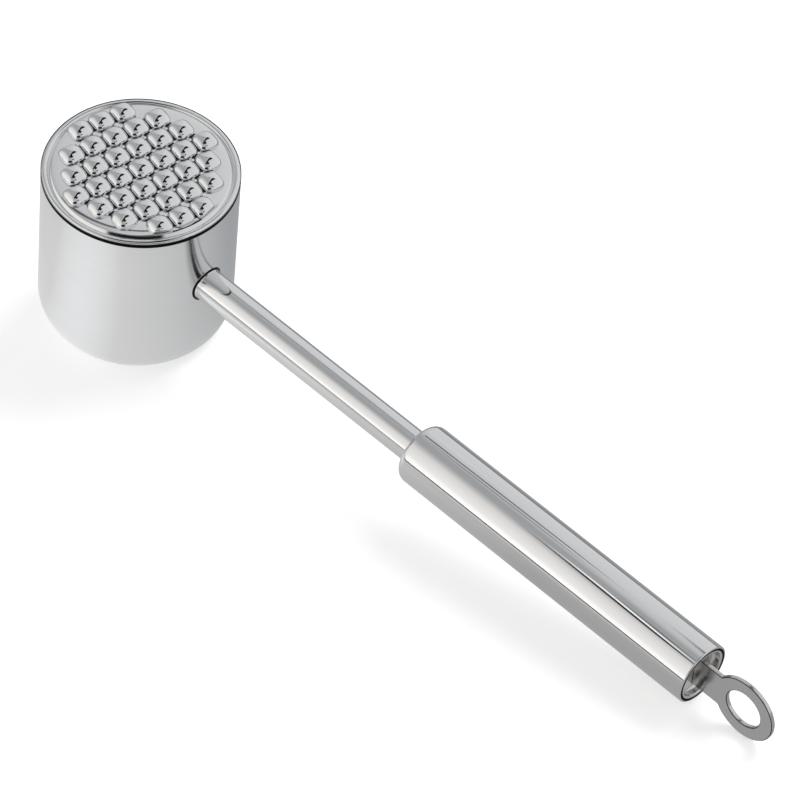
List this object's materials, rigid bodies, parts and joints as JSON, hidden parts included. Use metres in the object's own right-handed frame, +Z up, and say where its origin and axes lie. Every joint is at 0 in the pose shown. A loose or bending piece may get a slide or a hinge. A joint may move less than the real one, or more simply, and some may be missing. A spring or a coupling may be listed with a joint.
{
  "type": "meat mallet",
  "caption": "Steel meat mallet with a round head, smooth on one face and covered in pressed square teeth on the other, on a thin neck and tube grip with a flat hanging loop.",
  "frame": {"origin": "centre of the head's flat lower face, where the head's axis meets it", "axes": "+Z up the head's axis to the teeth, +X along the handle from the head to the hanging loop"},
  "size_m": [0.278, 0.058, 0.0596],
  "materials": {
    "satin_steel": "satin drawn stainless steel, softly blurred reflections",
    "polished_steel": "mirror-polished stamped stainless steel",
    "tube_steel": "polished stainless tube with fine lengthwise polishing lines",
    "cap_steel": "polished pressed stainless steel",
    "loop_steel": "fine satin stamped stainless steel with polished edges",
    "bush_steel": "plain turned steel, not seen from outside",
    "core_iron": "plain cast iron, not seen from outside"
  },
  "bodies": {
    "root": {"head_cup": "satin_steel", "toothed_lid": "polished_steel", "weight_core": "core_iron", "neck_tube": "tube_steel", "grip_tube": "tube_steel", "front_bush": "bush_steel", "rear_bush": "bush_steel", "end_cap": "cap_steel", "hanging_loop": "loop_steel"}
  },
  "joints": []
}
